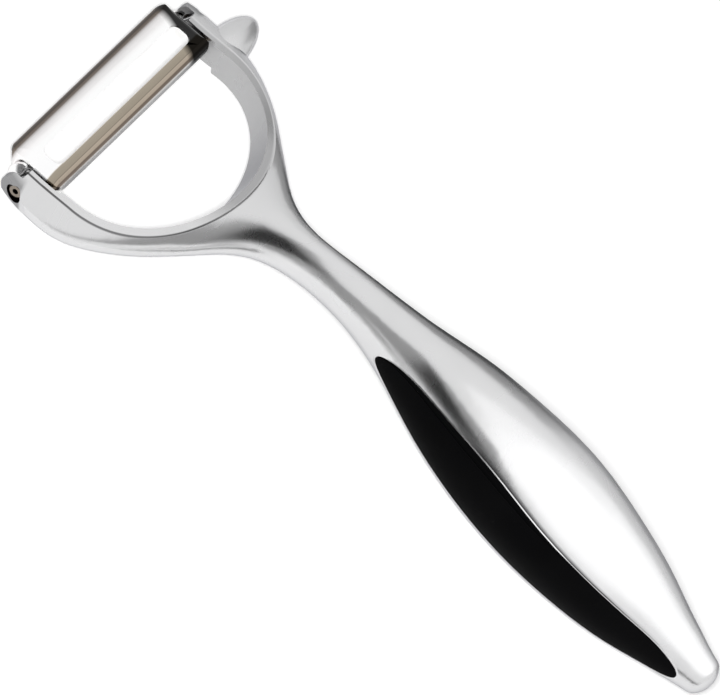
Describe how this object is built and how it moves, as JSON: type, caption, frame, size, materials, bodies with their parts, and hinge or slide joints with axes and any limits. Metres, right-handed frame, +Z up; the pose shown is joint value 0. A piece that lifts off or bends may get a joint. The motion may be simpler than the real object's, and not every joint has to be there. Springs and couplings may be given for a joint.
{
  "type": "vegetable peeler",
  "caption": "Y-shaped vegetable peeler with a slotted swivel blade between the arms of a cast metal yoke, a small eye gouger and a fish-shaped handle with grip inlays.",
  "frame": {"origin": "middle of the peeler's bounding box, on the plane that it lies on", "axes": "+Y from the handle towards the head, +Z up out of the table, +X to the gouger's side, along the blade's pivot axis"},
  "size_m": [0.076, 0.1716, 0.0276],
  "materials": {
    "cast_metal": "satin",
    "grip_rubber": "matte",
    "blade_steel": "polished",
    "pin_steel": "bright"
  },
  "bodies": {
    "handle": {"cast_body": "cast_metal", "left_grip_inlay": "grip_rubber", "right_grip_inlay": "grip_rubber"},
    "swivel_blade": {"blade": "blade_steel", "left_pivot_pin": "pin_steel", "right_pivot_pin": "pin_steel"}
  },
  "joints": [
    {"name": "blade_swivel", "type": "hinge", "parent": "handle", "child": "swivel_blade", "pos_m": [-0.00393, 0.0788, 0.00364], "axis": [1, 0, 0], "range_deg": [-9, 23]}
  ]
}
